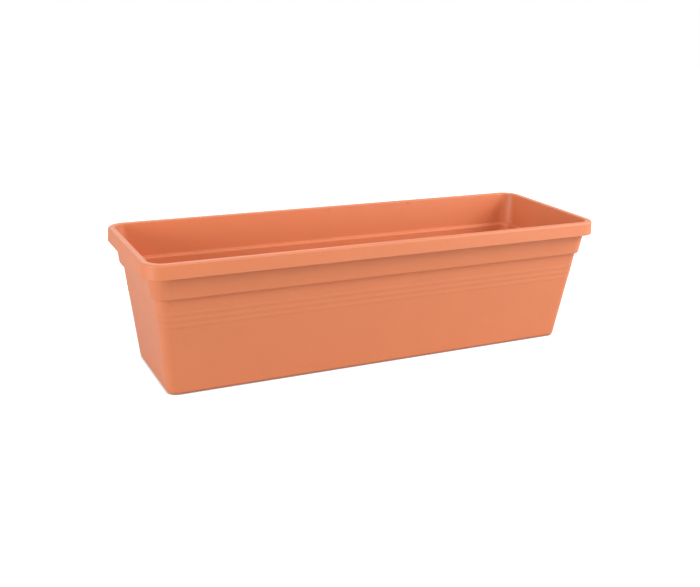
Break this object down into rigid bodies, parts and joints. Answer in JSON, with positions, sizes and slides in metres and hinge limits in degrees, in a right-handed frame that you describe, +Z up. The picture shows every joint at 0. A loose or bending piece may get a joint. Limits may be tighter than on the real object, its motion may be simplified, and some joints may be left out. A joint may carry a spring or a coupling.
{
  "type": "window box planter",
  "caption": "Long rectangular window box planter with a skirted rim, a collar, shallow beads round leaning walls and lift-out drain plugs in a raised floor.",
  "frame": {"origin": "middle of the footprint, on the ground that the standing ring rests on", "axes": "+X along the box's length, +Y from the front long face to the back one, +Z up"},
  "size_m": [0.6, 0.2, 0.164],
  "materials": {
    "trough": "satin terracotta-coloured moulded polypropylene",
    "plug": "satin moulded polyethylene, a shade darker than the box"
  },
  "bodies": {
    "trough": {"trough_shell": "trough"},
    "plug_1": {"drain_plug_1": "plug"},
    "plug_2": {"drain_plug_2": "plug"},
    "plug_3": {"drain_plug_3": "plug"},
    "plug_4": {"drain_plug_4": "plug"}
  },
  "joints": [
    {"name": "plug_1_lift", "type": "slide", "parent": "trough", "child": "plug_1", "axis": [0, 0, 1], "range_m": [0, 0.18]},
    {"name": "plug_2_lift", "type": "slide", "parent": "trough", "child": "plug_2", "axis": [0, 0, 1], "range_m": [0, 0.18]},
    {"name": "plug_3_lift", "type": "slide", "parent": "trough", "child": "plug_3", "axis": [0, 0, 1], "range_m": [0, 0.18]},
    {"name": "plug_4_lift", "type": "slide", "parent": "trough", "child": "plug_4", "axis": [0, 0, 1], "range_m": [0, 0.18]}
  ]
}
